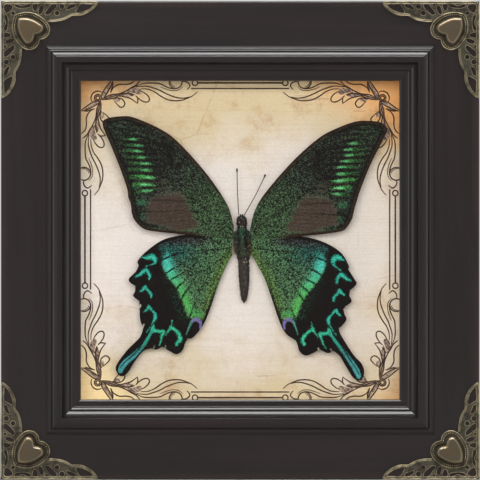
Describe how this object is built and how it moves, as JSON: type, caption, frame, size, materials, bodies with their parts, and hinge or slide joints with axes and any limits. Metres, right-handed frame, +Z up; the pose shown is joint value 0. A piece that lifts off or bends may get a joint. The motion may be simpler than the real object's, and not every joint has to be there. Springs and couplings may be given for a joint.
{
  "type": "framed butterfly specimen",
  "caption": "Spread swallowtail butterfly on a scrollwork-printed card, under glass in a square dark wood box frame with pierced brass corners.",
  "frame": {"origin": "under the middle of the frame, on the surface it stands on, halfway between the front of the brass hearts and the back of the hanger", "axes": "+Z up, -Y the way the glass and the butterfly face, +X to the viewer's right when facing the glass"},
  "size_m": [0.18, 0.0308, 0.18],
  "materials": {
    "frame_wood": "dark espresso lacquer, satin, a little red-brown at the edges",
    "antique_brass": "stamped, dark antique patina in the hollows, rubbed bright on the rims",
    "glass": "clear polished picture glass",
    "spacer_board": "matt ivory mount board",
    "printed_card": "matt aged parchment print with a dark brown scrollwork border",
    "hardboard": "bare pressed hardboard",
    "zinc_steel": "dull zinc plate",
    "hanger_steel": "yellow zinc plate",
    "insect_body": "dense black-brown hair with green scales",
    "forewing": "black-brown wing dusted with green scales, brown furry patches",
    "hindwing": "black wing with green and teal iridescent scales, band and crescents",
    "antenna": "black dry chitin"
  },
  "bodies": {
    "root": {"rail_bottom": "frame_wood", "rail_left": "frame_wood", "rail_top": "frame_wood", "rail_right": "frame_wood", "corner_top_left": "antique_brass", "corner_top_right": "antique_brass", "corner_bottom_right": "antique_brass", "corner_bottom_left": "antique_brass", "glass_pane": "glass", "spacer_top": "spacer_board", "spacer_bottom": "spacer_board", "spacer_left": "spacer_board", "spacer_right": "spacer_board", "backing_card": "printed_card", "back_board": "hardboard", "framers_point_bottom_1": "zinc_steel", "framers_point_bottom_2": "zinc_steel", "framers_point_left_1": "zinc_steel", "framers_point_left_2": "zinc_steel", "framers_point_top_1": "zinc_steel", "framers_point_top_2": "zinc_steel", "framers_point_right_1": "zinc_steel", "framers_point_right_2": "zinc_steel", "sawtooth_hanger": "hanger_steel", "hanger_nail_left": "hanger_steel", "hanger_nail_right": "hanger_steel", "butterfly_body": "insect_body", "forewing_left": "forewing", "forewing_right": "forewing", "hindwing_left": "hindwing", "hindwing_right": "hindwing", "antenna_left": "antenna", "antenna_right": "antenna"}
  },
  "joints": []
}
